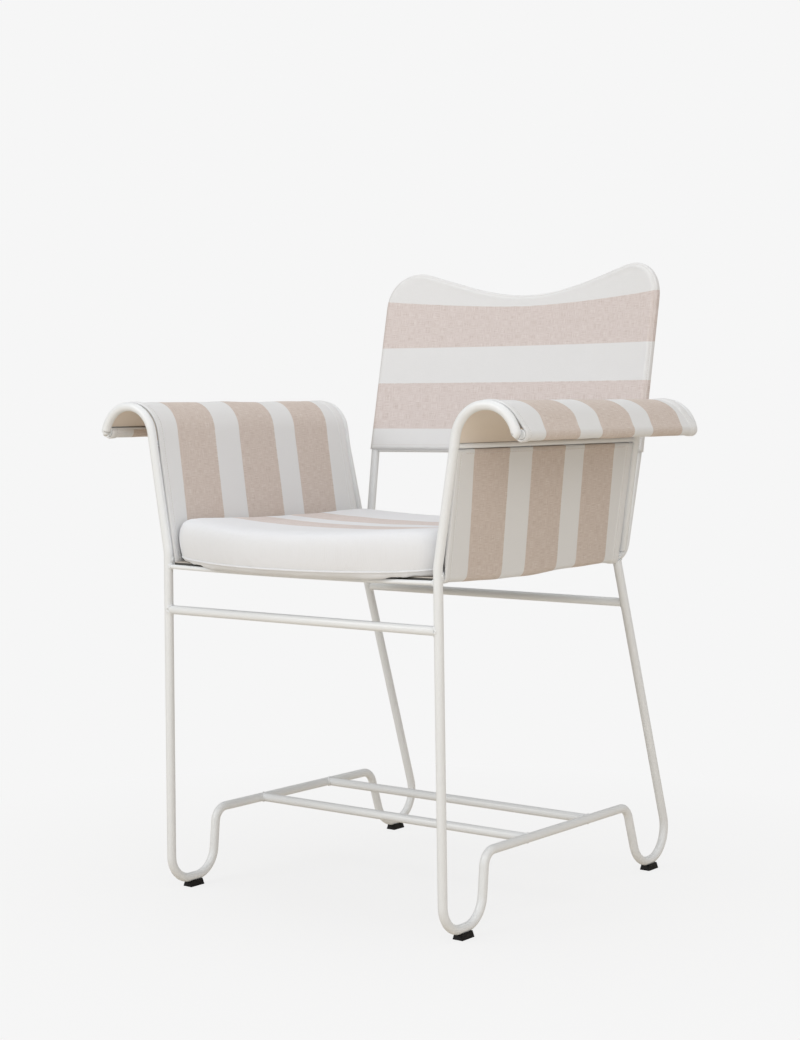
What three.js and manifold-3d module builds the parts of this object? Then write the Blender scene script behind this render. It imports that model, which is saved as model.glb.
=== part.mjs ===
import * as THREE from 'three';
import { mergeVertices } from 'three/addons/utils/BufferGeometryUtils.js';
import Module from 'manifold-3d';

// Sling patio chair with a bent steel tube frame, fabric arms and back, and a loose seat cushion
// Millimetres, +Z up, the front of the chair faces -Y, the right hand side is +X

const wasm = await Module();
wasm.setup();

// Driving dimensions
const tubeDiameter = 12;
const thinRodDiameter = 6;
const clothThickness = 1.6;
const fitGap = 0.3;
const tubeSides = 12;
const bendStepAngle = 14;

// Front of the side frame: arm hook, arm post, front leg and front foot
const hookPlaneY = -61.5;
const hookTipX = 335.9;
const hookTipZ = 621.2;
const hookCrestZ = 655;
const hookOuterX = 328.8;
const hookInnerX = 255.8;
const hookBend = 43;
const seatJointX = 222.5;
const seatJointY = -59;
const postBendRise = 10.2;
const postBend = 60;
const footX = 226;
const footZ = 12.5;
const frontFootStartY = -52.5;
const frontFootEndY = 28.7;
const frontFootBend = 36;

// Lower rail and rear foot of the side frame
const lowerRailZ = 99.2;
const lowerRailFrontY = 36.6;
const lowerRailRearY = 384.4;
const lowerRailFrontBend = 20;
const lowerRailRearBend = 24;
const rearFootStartY = 415.6;
const rearFootEndY = 508.2;
const rearFootBend = 42;
const rearLegTopX = 224;
const rearLegTopY = 357.8;

// Seat rails and back uprights
const seatRailZ = 449.8;
const seatCornerX = 222.5;
const seatCornerY = 377.3;
const seatCornerBend = 22;
const backPlaneY = 286.9;
const backLean = 0.197;
const backHalfWidth = 228.9;
const backBottomZ = 594;
const uprightKneeZ = 586;
const uprightKneeBend = 60;
const uprightJoinDrop = 8;
const backBow = 29.9;
const backCrestZ = 873.8;
const backWaveDepth = 52.6;
const backWaveHalfLength = 280.6;
const backCornerRadius = 61.4;
const topRailSegments = 22;
const topRailCornerSegments = 6;

// Arms
const rearHookPlaneY = 357;
const armRise = 4.5;
const armSplay = 4;
const rearPostFootX = 225.4;
const rearPostFootY = 368.5;
const rearPostFootRise = 12.2;
const rearPostKneeZ = 596;
const rearPostKneeY = 357.6;
const rearPostBend = 40;
const archCentreX = 292.5;
const archCentreZ = 612;
const rodPastTip = 2.1;
const rodUnderTip = 0.7;
const innerRailZ = 606;
const plateThickness = 1.2;
const plateSetback = 0.6;
const plateClearance = 0.5;
const plateRodClearance = 1;
const plateSegments = 20;

// Cloth arm sleeves
const sleeveFrontY = -52;
const sleeveRearY = 350;
const sleeveHemInset = 0.8;
const sleeveHemDrop = 7.4;
const sleeveRodEndAngle = -200;
const sleeveRows = 8;
const sleeveSag = 1.4;

// Cross tubes
const frontStretcherZ = 383.5;
const rearRailZ = 385;
const lowerFrontStretcherY = 135.3;
const lowerRearStretcherY = 283.9;
const panFrontRodY = -60;
const panRearRodY = 358;
const panRodDrop = 6.8;
const panThickness = 1.5;
const panEdgeClearance = 2.3;

// Back cover
const backCoverBottomZ = 592;
const backCoverMiddleColumns = 14;
const backCoverCornerColumns = 6;
const backCoverRows = 8;
const cavityClearance = 0.5;
const coverEdgeShare = 0.5;
const coverShoulderShare = 0.4;

// Seat cushion
const cushionRailOverlap = 0.5;
const cushionRestGap = 0.4;
const cushionThickness = 46;
const cushionRearY = 346;
const cushionCornerFrontY = -41;
const cushionBow = 68;
const cushionCornerRadius = 18;
const cushionSideRise = 9;
const cushionEndRise = 4.5;
const cushionUnderRise = 5;
const cushionEdgeInset = 5;
const cushionEdgeDrop = 4.5;
const cushionColumns = 18;
const cushionRowsDeep = 16;
const cushionLayers = 6;

// Glides under the feet
const glideWidth = 15;
const glideLength = 26;
const glideHeight = 8.4;
const frontGlideY = -9.2;
const rearGlideY = 449.2;
const glideToeShare = 0.82;

const tubeRadius = tubeDiameter / 2;
const rodRadius = thinRodDiameter / 2;
const halfCloth = clothThickness / 2;
const sleeveArchRadius = hookCrestZ + tubeRadius - halfCloth - archCentreZ - fitGap;
const wrapRadius = tubeRadius + fitGap + halfCloth;
const postBendZ = seatRailZ + postBendRise;
const rearPostFootZ = seatRailZ + rearPostFootRise;
const frontStretcherY = placeAtHeight(frontFootStartY, footZ, seatJointY, postBendZ, frontStretcherZ);
const rearRailY = placeAtHeight(rearFootEndY, footZ, rearLegTopY, seatRailZ, rearRailZ);
const panRodZ = seatRailZ - panRodDrop;
const outerRodX = hookTipX + rodPastTip;
const outerRodZ = hookTipZ - rodUnderTip;
const innerRailX = postXAt(innerRailZ);
const rearPostKneeX = postXAt(rearPostKneeZ);
const plateRadius = sleeveArchRadius - halfCloth - plateClearance - plateThickness / 2;
const panHalfWidth = seatCornerX - tubeRadius - panEdgeClearance;
const backCoverSide = tubeRadius + cavityClearance + clothThickness;
const uprightTopZ = backTopAt(backHalfWidth, backCoverSide) - uprightJoinDrop;
const cushionHalfWidth = seatCornerX - tubeRadius + cushionRailOverlap;
const cushionBottomZ = panRodZ + rodRadius + fitGap + panThickness + cushionRestGap;
const degrees = Math.PI / 180;
const leftSide = -1;
const rightSide = 1;

// Colours of the parts as seen under even light
const paintColour = 0xe9e7e0;
const clothColour = 0xe6e5e3;
const rubberColour = 0x18181a;

function materialOf(colour, roughness) {
  return new THREE.MeshStandardMaterial({ color: colour, roughness: roughness });
}

// Place along a slanted run at a given height, from its lower and upper ends
function placeAtHeight(lowPlace, lowZ, highPlace, highZ, z) {
  return lowPlace + ((highPlace - lowPlace) * (z - lowZ)) / (highZ - lowZ);
}

function postXAt(z) {
  return placeAtHeight(seatJointX, postBendZ, hookInnerX, hookCrestZ, z);
}

// A path sampled at its own points, so a long straight run costs one ring
class SampledPath extends THREE.Curve {
  constructor(points) {
    super();
    this.points = points;
  }

  getUtoTmapping(u) {
    return u;
  }

  getPoint(t, target = new THREE.Vector3()) {
    const last = this.points.length - 1;
    const place = Math.min(Math.max(t, 0), 1) * last;
    const index = Math.min(Math.floor(place), last - 1);
    return target.lerpVectors(this.points[index], this.points[index + 1], place - index);
  }
}

// Corner points joined by straight runs with a round bend at each inner corner
function bentPoints(corners, bends) {
  const points = [corners[0].clone()];
  for (let index = 1; index < corners.length - 1; index += 1) {
    const inward = corners[index].clone().sub(corners[index - 1]).normalize();
    const outward = corners[index + 1].clone().sub(corners[index]).normalize();
    const turn = inward.angleTo(outward);
    const setback = bends[index - 1] * Math.tan(turn / 2);
    const start = corners[index].clone().addScaledVector(inward, -setback);
    const normal = outward.clone().addScaledVector(inward, -outward.dot(inward)).normalize();
    const centre = start.clone().addScaledVector(normal, bends[index - 1]);
    const count = Math.max(2, Math.ceil(turn / degrees / bendStepAngle));
    for (let step = 0; step <= count; step += 1) {
      const angle = (turn * step) / count;
      const point = centre.clone();
      point.addScaledVector(normal, -bends[index - 1] * Math.cos(angle));
      point.addScaledVector(inward, bends[index - 1] * Math.sin(angle));
      points.push(point);
    }
  }
  points.push(corners[corners.length - 1].clone());
  return points;
}

function sweptTube(points, radius) {
  const circle = new THREE.Shape();
  circle.absarc(0, 0, radius, 0, 2 * Math.PI);
  return new THREE.ExtrudeGeometry(circle, {
    steps: points.length - 1,
    curveSegments: tubeSides / 2,
    bevelEnabled: false,
    extrudePath: new SampledPath(points),
  });
}

function solidOf(geometry) {
  const bare = geometry.clone();
  bare.deleteAttribute('normal');
  bare.deleteAttribute('uv');
  const merged = mergeVertices(bare);
  const solid = new wasm.Manifold(new wasm.Mesh({
    numProp: 3,
    vertProperties: new Float32Array(merged.attributes.position.array),
    triVerts: new Uint32Array(merged.index.array),
  }));
  return solid;
}

function geometryOf(solid) {
  const mesh = solid.getMesh();
  const geometry = new THREE.BufferGeometry();
  geometry.setAttribute('position', new THREE.BufferAttribute(new Float32Array(mesh.vertProperties), 3));
  geometry.setIndex(new THREE.BufferAttribute(new Uint32Array(mesh.triVerts), 1));
  geometry.computeVertexNormals();
  return geometry;
}

function largestPiece(solid) {
  const pieces = solid.decompose();
  pieces.sort((first, second) => second.volume() - first.volume());
  return pieces[0];
}

// A tube end cut to sit against the tubes it is welded to
function coped(geometry, neighbours) {
  let solid = solidOf(geometry);
  for (const points of neighbours) {
    solid = solid.subtract(solidOf(sweptTube(points, tubeRadius + fitGap)));
  }
  return geometryOf(largestPiece(solid));
}

const chair = new THREE.Group();
chair.name = 'sling_patio_chair';

function addPart(name, geometry, colour, roughness) {
  const mesh = new THREE.Mesh(geometry, materialOf(colour, roughness));
  mesh.name = name;
  chair.add(mesh);
}

const paintRoughness = 0.38;
const clothRoughness = 0.9;
const rubberRoughness = 0.6;

function at(side, x, y, z) {
  return new THREE.Vector3(side * x, y, z);
}

// Side frames: one bent tube from the arm hook down the front leg, along the floor and up the rear leg
function sideFramePath(side) {
  const corners = [
    at(side, hookTipX, hookPlaneY, hookTipZ),
    at(side, hookOuterX, hookPlaneY, hookCrestZ),
    at(side, hookInnerX, hookPlaneY, hookCrestZ),
    at(side, seatJointX, seatJointY, postBendZ),
    at(side, footX, frontFootStartY, footZ),
    at(side, footX, frontFootEndY, footZ),
    at(side, footX, lowerRailFrontY, lowerRailZ),
    at(side, footX, lowerRailRearY, lowerRailZ),
    at(side, footX, rearFootStartY, footZ),
    at(side, footX, rearFootEndY, footZ),
    at(side, rearLegTopX, rearLegTopY, seatRailZ),
  ];
  const bends = [hookBend, hookBend, postBend, frontFootBend, frontFootBend,
    lowerRailFrontBend, lowerRailRearBend, rearFootBend, rearFootBend];
  return bentPoints(corners, bends);
}

// Back uprights: each starts as the seat side rail and turns up at the rear corner of the seat
function backY(x, z) {
  const across = Math.min(Math.abs(x) / backHalfWidth, 1);
  return backPlaneY + backLean * z + backBow * (1 - across * across);
}

function uprightPath(side) {
  const corners = [
    at(side, seatJointX, seatJointY, seatRailZ),
    at(side, seatCornerX, seatCornerY, seatRailZ),
    at(side, backHalfWidth, backY(backHalfWidth, uprightKneeZ), uprightKneeZ),
    at(side, backHalfWidth, backY(backHalfWidth, uprightTopZ), uprightTopZ),
  ];
  return bentPoints(corners, [seatCornerBend, uprightKneeBend]);
}

// Rear arm posts: up from the rear seat corner, over the arm and down to a hook tip
function rearPostPath(side) {
  const corners = [
    at(side, rearPostFootX, rearPostFootY, rearPostFootZ),
    at(side, rearPostKneeX + armSplay, rearPostKneeY, rearPostKneeZ),
    at(side, hookInnerX + armSplay, rearHookPlaneY, hookCrestZ + armRise),
    at(side, hookOuterX + armSplay, rearHookPlaneY, hookCrestZ + armRise),
    at(side, hookTipX + armSplay, rearHookPlaneY, hookTipZ + armRise),
  ];
  return bentPoints(corners, [rearPostBend, hookBend, hookBend]);
}

function straightTube(start, end, radius) {
  return sweptTube([start, end], radius);
}

function addSideTubes(side, word) {
  const frame = sideFramePath(side);
  const upright = uprightPath(side);
  const rearPost = rearPostPath(side);
  addPart('side_frame_' + word, coped(sweptTube(frame, tubeRadius), [upright]), paintColour, paintRoughness);
  addPart('back_upright_' + word, coped(sweptTube(upright, tubeRadius), [frame.slice(0, frame.length / 2)]),
    paintColour, paintRoughness);
  addPart('rear_arm_post_' + word, coped(sweptTube(rearPost, tubeRadius), [upright]),
    paintColour, paintRoughness);
}

// The arms rise and open a little toward the rear, and the cloth stays put where it meets the seat rail
function skewed(point) {
  const along = (point.y - hookPlaneY) / (rearHookPlaneY - hookPlaneY);
  const lift = Math.min(Math.max((point.z - seatRailZ) / (innerRailZ - seatRailZ), 0), 1);
  point.x += Math.sign(point.x) * armSplay * along * lift;
  point.z += armRise * along * lift;
  return point;
}

function skewedGeometry(geometry) {
  const place = geometry.attributes.position;
  const point = new THREE.Vector3();
  for (let index = 0; index < place.count; index += 1) {
    skewed(point.fromBufferAttribute(place, index));
    place.setXYZ(index, point.x, point.y, point.z);
  }
  return geometry;
}

function armTube(side, x, z, startY, endY, radius) {
  return sweptTube([skewed(at(side, x, startY, z)), skewed(at(side, x, endY, z))], radius);
}

// Arm rods and the curved plate that carries the cloth
function addArm(side, word) {
  const rodStart = hookPlaneY + tubeRadius + fitGap;
  const rodEnd = rearHookPlaneY - tubeRadius - fitGap;
  addPart('outer_arm_rod_' + word, armTube(side, outerRodX, outerRodZ, rodStart, rodEnd, tubeRadius),
    paintColour, paintRoughness);
  const rail = armTube(side, innerRailX, innerRailZ, hookPlaneY, rearHookPlaneY, rodRadius);
  addPart('inner_arm_rail_' + word, coped(rail, [sideFramePath(side), rearPostPath(side)]),
    paintColour, paintRoughness);
  const plate = bandAlongY(platePath(), plateThickness / 2, side, rodStart + plateSetback,
    rodEnd - plateSetback, 1);
  addPart('arm_plate_' + word, skewedGeometry(plate), paintColour, paintRoughness);
}

function arcPoints(centreX, centreZ, radius, fromAngle, toAngle, count) {
  const points = [];
  for (let step = 0; step <= count; step += 1) {
    const angle = (fromAngle + ((toAngle - fromAngle) * step) / count) * degrees;
    points.push(new THREE.Vector2(centreX + radius * Math.cos(angle), centreZ + radius * Math.sin(angle)));
  }
  return points;
}

// Angle on a circle round the arch where the gap to another round bar is as wide as asked
function angleBesideBar(barX, barZ, barRadius, gap) {
  const distance = Math.hypot(barX - archCentreX, barZ - archCentreZ);
  const reach = barRadius + plateThickness / 2 + gap;
  const cosine = (distance ** 2 + plateRadius ** 2 - reach ** 2) / (2 * distance * plateRadius);
  return Math.acos(Math.min(cosine, 1)) / degrees;
}

function headingFromArch(x, z) {
  return Math.atan2(z - archCentreZ, x - archCentreX) / degrees;
}

// The plate runs from the inner rail over the arch to the outer rod
function platePath() {
  const railHeading = (headingFromArch(innerRailX, innerRailZ) + fullTurn) % fullTurn;
  const start = railHeading - angleBesideBar(innerRailX, innerRailZ, rodRadius, fitGap);
  const end = headingFromArch(outerRodX, outerRodZ)
    + angleBesideBar(outerRodX, outerRodZ, tubeRadius, plateRodClearance);
  return arcPoints(archCentreX, archCentreZ, plateRadius, start, end, plateSegments);
}

const fullTurn = 360;

// Angle at which a line that touches two circles on their left side leaves them, looking from first to second
function tangentAngle(first, second) {
  const distance = Math.hypot(second.x - first.x, second.z - first.z);
  const heading = Math.atan2(second.z - first.z, second.x - first.x);
  return (heading + Math.acos((first.radius - second.radius) / distance)) / degrees;
}

// The cloth loop of one arm, from the outer hem down round the seat rail, up over the arm and round the rod
function sleevePath() {
  const hem = { x: innerRailX - sleeveHemInset, z: innerRailZ - sleeveHemDrop, radius: 0 };
  const rail = { x: seatJointX, z: seatRailZ, radius: wrapRadius };
  const arch = { x: archCentreX, z: archCentreZ, radius: sleeveArchRadius };
  const rod = { x: outerRodX, z: outerRodZ, radius: wrapRadius };
  const outerStart = tangentAngle(hem, rail);
  const inner = tangentAngle(rail, arch);
  const over = tangentAngle(arch, rod);
  return [
    new THREE.Vector2(hem.x, hem.z),
    ...arcPoints(rail.x, rail.z, rail.radius, outerStart, inner - fullTurn, sleeveRailCount),
    ...arcPoints(arch.x, arch.z, arch.radius, inner, over, sleeveArchCount),
    ...arcPoints(rod.x, rod.z, rod.radius, over, sleeveRodEndAngle, sleeveRodCount),
  ];
}

// A thin strip that follows a path in the XZ plane, drawn out along Y
function bandAlongY(path, halfThickness, side, startY, endY, rows) {
  const near = [];
  const far = [];
  for (let index = 0; index < path.length; index += 1) {
    const before = path[Math.max(index - 1, 0)];
    const after = path[Math.min(index + 1, path.length - 1)];
    const along = after.clone().sub(before).normalize();
    const across = new THREE.Vector2(-along.y, along.x);
    near.push(path[index].clone().addScaledVector(across, halfThickness));
    far.push(path[index].clone().addScaledVector(across, -halfThickness));
  }
  const outline = [...near, ...far.reverse()].map((point) => new THREE.Vector2(side * point.x, point.y));
  const geometry = new THREE.ExtrudeGeometry(new THREE.Shape(outline), {
    depth: endY - startY,
    steps: rows,
    bevelEnabled: false,
  });
  geometry.rotateX(Math.PI / 2);
  geometry.translate(0, endY, 0);
  return geometry;
}

const sleeveRailCount = 8;
const sleeveArchCount = 14;
const sleeveRodCount = 12;

// The cloth hangs a little deeper between its ends, where it passes under the seat rail
function sagUnderRail(geometry) {
  const place = geometry.attributes.position;
  const length = sleeveRearY - sleeveFrontY;
  for (let index = 0; index < place.count; index += 1) {
    const along = (place.getY(index) - sleeveFrontY) / length;
    const depth = Math.max(seatRailZ - place.getZ(index), 0) / wrapRadius;
    place.setZ(index, place.getZ(index) - sleeveSag * depth * Math.sin(Math.PI * along) ** 2);
  }
  return geometry;
}

function addSleeve(side, word) {
  const band = bandAlongY(sleevePath(), halfCloth, side, sleeveFrontY, sleeveRearY, sleeveRows);
  addPart('arm_cover_' + word, sagUnderRail(skewedGeometry(band)), clothColour, clothRoughness);
}

// Cross tubes between the two side frames
function addCrossTube(name, y, z, x, neighboursOf) {
  const tube = straightTube(at(leftSide, x, y, z), at(rightSide, x, y, z), tubeRadius);
  addPart(name, coped(tube, [neighboursOf(leftSide), neighboursOf(rightSide)]), paintColour, paintRoughness);
}

function addThinRod(name, y, z) {
  const rod = straightTube(at(leftSide, seatJointX, y, z), at(rightSide, seatJointX, y, z), rodRadius);
  const neighbours = [sideFramePath(leftSide), sideFramePath(rightSide),
    uprightPath(leftSide), uprightPath(rightSide)];
  addPart(name, coped(rod, neighbours), paintColour, paintRoughness);
}

function addSeatPan() {
  const length = panRearRodY - panFrontRodY;
  const pan = new THREE.BoxGeometry(2 * panHalfWidth, length, panThickness);
  const middleY = (panRearRodY + panFrontRodY) / 2;
  pan.translate(0, middleY, panRodZ + rodRadius + fitGap + panThickness / 2);
  let solid = solidOf(pan);
  for (const side of [leftSide, rightSide]) {
    solid = solid.subtract(solidOf(sweptTube(sideFramePath(side), tubeRadius + fitGap)));
    solid = solid.subtract(solidOf(sweptTube(uprightPath(side), tubeRadius + fitGap)));
  }
  addPart('seat_pan', geometryOf(largestPiece(solid)), paintColour, paintRoughness);
}

// The wavy top edge of the back, lowest in the middle, with round corners
function backTopAt(x, inset) {
  const phase = Math.min(Math.abs(x) / backWaveHalfLength, 1);
  const wave = backCrestZ - (backWaveDepth * (1 + Math.cos(Math.PI * phase))) / 2;
  const radius = backCornerRadius - inset;
  const past = Math.abs(x) - (backHalfWidth + backCoverSide - inset - radius);
  const drop = past > 0 ? radius - Math.sqrt(Math.max(radius * radius - past * past, 0)) : 0;
  return wave - inset - drop;
}

// Points across the top from one corner to the other, closer together round the corners
function spreadAcross(halfWidth, radius, middleCount, cornerCount) {
  const places = [];
  const inner = halfWidth - radius;
  for (let step = cornerCount; step > 0; step -= 1) {
    places.push(-inner - radius * Math.sin((step / cornerCount) * Math.PI / 2));
  }
  for (let step = 0; step <= middleCount; step += 1) {
    places.push(-inner + (2 * inner * step) / middleCount);
  }
  for (let step = 1; step <= cornerCount; step += 1) {
    places.push(inner + radius * Math.sin((step / cornerCount) * Math.PI / 2));
  }
  return places;
}

function addBackTopRail() {
  const inset = backCoverSide;
  const start = uprightTopZ + fitGap;
  const places = spreadAcross(backHalfWidth, backCornerRadius - inset, topRailSegments, topRailCornerSegments);
  const points = [new THREE.Vector3(-backHalfWidth, backY(backHalfWidth, start), start)];
  for (const x of places) {
    const z = backTopAt(x, inset);
    points.push(new THREE.Vector3(x, backY(x, z), z));
  }
  points.push(new THREE.Vector3(backHalfWidth, backY(backHalfWidth, start), start));
  addPart('back_top_rail', sweptTube(points, tubeRadius), paintColour, paintRoughness);
}

function addBackBottomRail() {
  const points = [];
  for (let step = 0; step <= topRailSegments; step += 1) {
    const x = -backHalfWidth + (2 * backHalfWidth * step) / topRailSegments;
    points.push(new THREE.Vector3(x, backY(x, backBottomZ), backBottomZ));
  }
  const rail = coped(sweptTube(points, tubeRadius), [uprightPath(leftSide), uprightPath(rightSide)]);
  addPart('back_bottom_rail', rail, paintColour, paintRoughness);
}

// A slab that follows the bowed and leaning back, thinner at its rim
function backSlab(inset, bottomZ) {
  const halfWidth = backHalfWidth + backCoverSide - inset;
  const halfDepth = backCoverSide - inset;
  const places = spreadAcross(halfWidth, backCornerRadius - inset, backCoverMiddleColumns,
    backCoverCornerColumns);
  const columns = places.length - 1;
  const slab = new THREE.BoxGeometry(1, 1, 1, columns, 2, backCoverRows);
  const place = slab.attributes.position;
  for (let index = 0; index < place.count; index += 1) {
    const column = Math.round((place.getX(index) + 1 / 2) * columns);
    const row = Math.round((place.getZ(index) + 1 / 2) * backCoverRows);
    const layer = Math.round(2 * place.getY(index));
    shapeSlabPoint(place, index, places[column], column, columns, row, layer, { inset, halfDepth, bottomZ });
  }
  slab.computeVertexNormals();
  return slab;
}

function shapeSlabPoint(place, index, x, column, columns, row, layer, settings) {
  const top = backTopAt(x, settings.inset);
  const shoulder = settings.halfDepth * coverShoulderShare;
  const span = top - settings.bottomZ;
  let z = settings.bottomZ + (span * row) / (backCoverRows - 1);
  let depth = settings.halfDepth;
  if (row === backCoverRows - 1) {
    z = top - shoulder;
  }
  if (row === backCoverRows) {
    z = top;
    depth = settings.halfDepth * coverEdgeShare;
  }
  if (column === 0 || column === columns) {
    depth = settings.halfDepth * coverEdgeShare;
  }
  place.setXYZ(index, x, backY(x, z) + layer * depth, z);
}

function addBackCover() {
  const outer = solidOf(backSlab(0, backCoverBottomZ));
  const cavity = solidOf(backSlab(clothThickness, backCoverBottomZ - tubeDiameter));
  addPart('back_cover', geometryOf(largestPiece(outer.subtract(cavity))), clothColour, clothRoughness);
}

// Loose cushion with a bowed front edge and rounded corners, dished where people sit
function cushionFrontY(x) {
  const across = x / cushionHalfWidth;
  return cushionCornerFrontY - cushionBow * (1 - across * across);
}

function cushionGeometry() {
  const geometry = new THREE.BoxGeometry(1, 1, 1, cushionColumns, cushionRowsDeep, cushionLayers);
  const place = geometry.attributes.position;
  for (let index = 0; index < place.count; index += 1) {
    shapeCushionPoint(place, index);
  }
  geometry.computeVertexNormals();
  return geometry;
}

// Pulls a square in the range -1 to 1 in at its corners, leaving its sides in place
function roundedSquare(u, v, share) {
  const inner = 1 - share;
  const pastU = Math.max(Math.abs(u) - inner, 0) / share;
  const pastV = Math.max(Math.abs(v) - inner, 0) / share;
  const reach = Math.hypot(pastU, pastV);
  const most = Math.max(pastU, pastV);
  const pull = reach > 0 ? most / reach : 1;
  return [
    Math.sign(u) * (Math.min(Math.abs(u), inner) + pastU * pull * share),
    Math.sign(v) * (Math.min(Math.abs(v), inner) + pastV * pull * share),
  ];
}

function shapeCushionPoint(place, index) {
  const spreadU = easeToEdge(2 * place.getX(index));
  const spreadV = easeToEdge(2 * place.getY(index));
  const level = 2 * place.getZ(index);
  const cornerShare = cushionCornerRadius / cushionHalfWidth;
  const [u, v] = roundedSquare(spreadU, spreadV, cornerShare);
  const inset = cushionEdgeInset * Math.abs(level) ** 3;
  const width = cushionHalfWidth - inset;
  const front = cushionFrontY(u * cushionHalfWidth) + inset;
  const rear = cushionRearY - inset;
  const x = u * width;
  const y = front + ((v + 1) / 2) * (rear - front);
  const share = (level + 1) / 2;
  const drop = cushionEdgeDrop * Math.max(Math.abs(spreadU), Math.abs(spreadV)) ** rimPower;
  const bottom = cushionBottomZ + cushionUnderRise * u ** 4;
  const top = cushionBottomZ + cushionThickness + cushionSideRise * u ** 2 + cushionEndRise * v ** 2;
  place.setXYZ(index, x, y, bottom + drop + (top - bottom - 2 * drop) * share);
}

const rimPower = 40;

// Brings the grid lines closer together near the rim
function easeToEdge(value) {
  return Math.sin((value * Math.PI) / 2) * edgeEaseShare + value * (1 - edgeEaseShare);
}

const edgeEaseShare = 0.75;

// Black plastic glides clipped under the bends of the feet
function glideGeometry(side, centreY) {
  const block = new THREE.BoxGeometry(glideWidth, glideLength, glideHeight, 1, 3, 1);
  const place = block.attributes.position;
  for (let index = 0; index < place.count; index += 1) {
    if (place.getZ(index) > 0) {
      place.setY(index, place.getY(index) * glideToeShare);
      place.setX(index, place.getX(index) * glideToeShare);
    }
  }
  block.translate(side * footX, centreY, glideHeight / 2);
  const channel = solidOf(sweptTube(sideFramePath(side), tubeRadius + fitGap));
  return geometryOf(largestPiece(solidOf(block).subtract(channel)));
}

addSideTubes(leftSide, 'left');
addSideTubes(rightSide, 'right');
addArm(leftSide, 'left');
addArm(rightSide, 'right');
addSleeve(leftSide, 'left');
addSleeve(rightSide, 'right');
addCrossTube('front_stretcher', frontStretcherY, frontStretcherZ, seatJointX, sideFramePath);
addCrossTube('rear_seat_rail', rearRailY, rearRailZ, seatCornerX, sideFramePath);
addCrossTube('lower_front_stretcher', lowerFrontStretcherY, lowerRailZ, footX, sideFramePath);
addCrossTube('lower_rear_stretcher', lowerRearStretcherY, lowerRailZ, footX, sideFramePath);
addThinRod('front_seat_rod', panFrontRodY, panRodZ);
addThinRod('rear_seat_rod', panRearRodY, panRodZ);
addSeatPan();
addBackTopRail();
addBackBottomRail();
addBackCover();
addPart('seat_cushion', cushionGeometry(), clothColour, clothRoughness);
addPart('glide_front_left', glideGeometry(leftSide, frontGlideY), rubberColour, rubberRoughness);
addPart('glide_front_right', glideGeometry(rightSide, frontGlideY), rubberColour, rubberRoughness);
addPart('glide_rear_left', glideGeometry(leftSide, rearGlideY), rubberColour, rubberRoughness);
addPart('glide_rear_right', glideGeometry(rightSide, rearGlideY), rubberColour, rubberRoughness);

// The origin is the middle of the footprint, on the floor
const bounds = new THREE.Box3().setFromObject(chair);
const middle = bounds.getCenter(new THREE.Vector3());
for (const mesh of chair.children) {
  mesh.geometry.translate(-middle.x, -middle.y, -bounds.min.z);
}

export default chair;
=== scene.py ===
import math

import bmesh
import bpy
import numpy as np
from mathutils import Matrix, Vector, noise
from mathutils.bvhtree import BVHTree


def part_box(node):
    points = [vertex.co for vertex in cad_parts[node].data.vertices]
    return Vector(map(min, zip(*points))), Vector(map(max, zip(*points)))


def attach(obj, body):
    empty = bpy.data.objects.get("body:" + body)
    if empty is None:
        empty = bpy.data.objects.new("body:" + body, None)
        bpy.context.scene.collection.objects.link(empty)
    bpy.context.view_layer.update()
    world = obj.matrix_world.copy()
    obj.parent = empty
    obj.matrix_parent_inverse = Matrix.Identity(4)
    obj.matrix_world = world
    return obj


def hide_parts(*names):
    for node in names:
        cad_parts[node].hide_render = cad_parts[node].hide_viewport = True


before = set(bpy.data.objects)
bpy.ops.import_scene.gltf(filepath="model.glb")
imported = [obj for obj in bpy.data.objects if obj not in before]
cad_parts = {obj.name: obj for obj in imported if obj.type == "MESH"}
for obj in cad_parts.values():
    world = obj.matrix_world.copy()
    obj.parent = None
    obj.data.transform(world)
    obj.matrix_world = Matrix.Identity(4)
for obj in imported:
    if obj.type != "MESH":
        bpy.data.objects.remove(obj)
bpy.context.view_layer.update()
print("stage 1: frame loaded")

# Sizes in metres. Y is counted from the plane of the front legs, and frontOrigin moves it into the frame
glideLow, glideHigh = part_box("glide_front_right")
glideBehindLegs = 0.0092
frontOrigin = (glideLow.y + glideHigh.y) / 2 + glideBehindLegs

chair = {
    "tubeRadius": 0.006, "rodRadius": 0.003,
    "hookY": -0.0615, "rearHookY": 0.357,
    "tipX": 0.3359, "tipZ": 0.6212,
    "outerX": 0.3288, "innerX": 0.2558, "crestZ": 0.655,
    "seatX": 0.2225, "seatY": -0.059, "seatZ": 0.4498, "seatRearY": 0.3773,
    "postBendZ": 0.460, "hookBend": 0.043,
    "armRise": 0.0045, "armSplay": 0.004,
    "archX": 0.2925, "archZ": 0.612,
    "rodX": 0.338, "rodZ": 0.6205,
    "innerRailX": 0.2474, "innerRailZ": 0.606,
    "footX": 0.226, "footZ": 0.0125, "railZ": 0.0992,
    "frontFootY": (-0.0525, 0.0287),
    "sideRailY": (0.0366, 0.3844),
    "rearFootY": (0.4156, 0.5082),
    "rearLegX": 0.224, "rearLegY": 0.3578,
    "legBends": (0.060, 0.036, 0.036, 0.020, 0.024, 0.042, 0.042),
    "rearPostFoot": (0.2254, 0.3685, 0.458),
    "rearPostKnee": (0.2457, 0.3576, 0.596),
    "rearPostBend": 0.040,
    "backHalf": 0.2289, "backPlane": 0.2869, "backLean": 0.197, "backBow": 0.0299,
    "backKneeZ": 0.586, "backLowZ": 0.594,
    "uprightBends": (0.022, 0.060),
}


# Small helpers for places and meshes

def placed(x, y, z):
    return Vector((x, y + frontOrigin, z))


def smoothStep(low, high, value):
    share = min(max((value - low) / (high - low), 0.0), 1.0)
    return share * share * (3 - 2 * share)


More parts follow.
